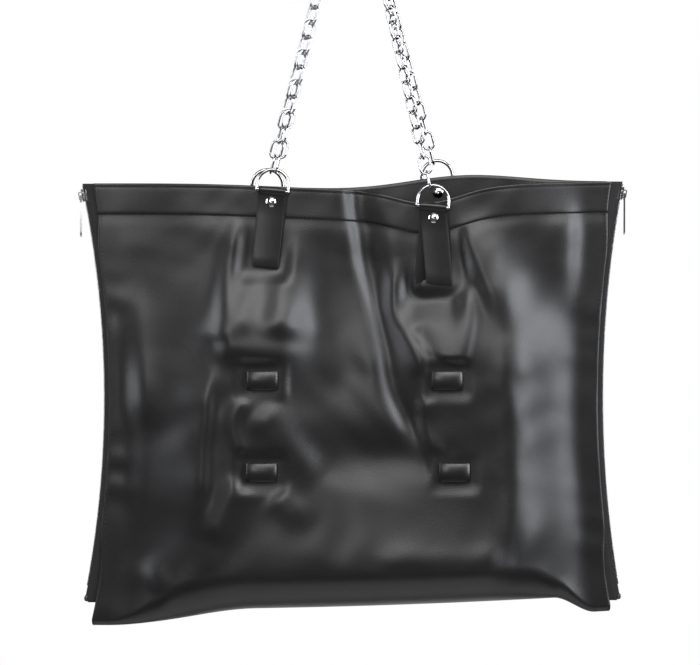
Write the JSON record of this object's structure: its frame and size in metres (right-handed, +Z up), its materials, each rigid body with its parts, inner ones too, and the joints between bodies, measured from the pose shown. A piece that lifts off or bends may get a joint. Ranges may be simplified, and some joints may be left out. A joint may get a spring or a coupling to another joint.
{
  "type": "diaper bag",
  "caption": "Large soft tote with toothed zips up both sides, hung from chain handles on ringed tabs, with strap keepers across its front.",
  "frame": {"origin": "point at the top of the handles where a hook carries both chains", "axes": "+X to the right seen from the front, +Y from the front to the rear, +Z up"},
  "size_m": [0.513, 0.0843, 0.669],
  "materials": {
    "leather": "satin black imitation leather, fine grain",
    "lining": "plain woven lining, dark grey",
    "zip_tape": "black woven zip tape",
    "zip_teeth": "dull nickel zip teeth",
    "bright_metal": "polished nickel-plated wire and castings"
  },
  "bodies": {
    "bag": {"front_panel": "leather", "rear_panel": "leather", "front_facing": "leather", "rear_facing": "leather", "front_lining": "lining", "rear_lining": "lining", "front_left_tab": "leather", "front_right_tab": "leather", "rear_left_tab": "leather", "rear_right_tab": "leather", "rivet_studs": "bright_metal", "rivet_backs": "bright_metal", "keeper_upper_left": "leather", "keeper_upper_right": "leather", "keeper_lower_left": "leather", "keeper_lower_right": "leather", "left_zip_front_tape": "zip_tape", "left_zip_rear_tape": "zip_tape", "left_zip_front_teeth": "zip_teeth", "left_zip_rear_teeth": "zip_teeth", "left_zip_top_stops": "zip_teeth", "left_zip_bottom_stop": "zip_teeth", "right_zip_front_tape": "zip_tape", "right_zip_rear_tape": "zip_tape", "right_zip_front_teeth": "zip_teeth", "right_zip_rear_teeth": "zip_teeth", "right_zip_top_stops": "zip_teeth", "right_zip_bottom_stop": "zip_teeth"},
    "front_left_ring": {"front_left_ring": "bright_metal"},
    "front_right_ring": {"front_right_ring": "bright_metal"},
    "rear_left_ring": {"rear_left_ring": "bright_metal"},
    "rear_right_ring": {"rear_right_ring": "bright_metal"},
    "front_chain": {"front_chain": "bright_metal"},
    "rear_chain": {"rear_chain": "bright_metal"},
    "left_slider": {"left_slider": "bright_metal"},
    "left_pull": {"left_pull": "bright_metal"},
    "right_slider": {"right_slider": "bright_metal"},
    "right_pull": {"right_pull": "bright_metal"}
  },
  "joints": [
    {"name": "left_zip_run", "type": "hinge", "parent": "bag", "child": "left_slider", "pos_m": [-1.2024, 0, -0.44], "axis": [0, 1, 0], "range_deg": [0, 21.99], "deforming": ["left_zip_front_teeth", "left_zip_rear_teeth"]},
    {"name": "left_pull_swing", "type": "hinge", "parent": "left_slider", "child": "left_pull", "pos_m": [-0.25361, 0, -0.25532], "axis": [0, 1, 0], "range_deg": [-4, 150]},
    {"name": "right_zip_run", "type": "hinge", "parent": "bag", "child": "right_slider", "pos_m": [1.31011, 0, -0.438], "axis": [0, -1, 0], "range_deg": [0, 19.8], "deforming": ["right_zip_front_teeth", "right_zip_rear_teeth"]},
    {"name": "right_pull_swing", "type": "hinge", "parent": "right_slider", "child": "right_pull", "pos_m": [0.25383, 0, -0.25328], "axis": [0, -1, 0], "range_deg": [-4, 150]},
    {"name": "front_left_ring_swing", "type": "hinge", "parent": "bag", "child": "front_left_ring", "pos_m": [-0.074, -0.0297, -0.25032], "axis": [0.9952, 0, -0.0981], "range_deg": [0, 120]},
    {"name": "front_right_ring_swing", "type": "hinge", "parent": "bag", "child": "front_right_ring", "pos_m": [0.074, -0.0297, -0.26491], "axis": [0.9952, 0, -0.0981], "range_deg": [0, 120]},
    {"name": "front_chain_swing", "type": "hinge", "parent": "front_left_ring", "child": "front_chain", "pos_m": [-0.0702, -0.02795, -0.2313], "axis": [0.9947, -0.0004, -0.1023], "range_deg": [0, 45]},
    {"name": "rear_left_ring_swing", "type": "hinge", "parent": "bag", "child": "rear_left_ring", "pos_m": [-0.08, 0.0227, -0.25], "axis": [-0.9986, 0, -0.0533], "range_deg": [0, 120]},
    {"name": "rear_right_ring_swing", "type": "hinge", "parent": "bag", "child": "rear_right_ring", "pos_m": [0.08, 0.0227, -0.24147], "axis": [-0.9986, 0, -0.0533], "range_deg": [0, 120]},
    {"name": "rear_chain_swing", "type": "hinge", "parent": "rear_left_ring", "child": "rear_chain", "pos_m": [-0.07657, 0.02148, -0.23103], "axis": [-0.9984, 0.0002, -0.0557], "range_deg": [0, 45]}
  ],
  "couplings": [
    {"joint": "front_right_ring_swing", "follows": "front_left_ring_swing", "ratio": 1},
    {"joint": "rear_right_ring_swing", "follows": "rear_left_ring_swing", "ratio": 1}
  ]
}
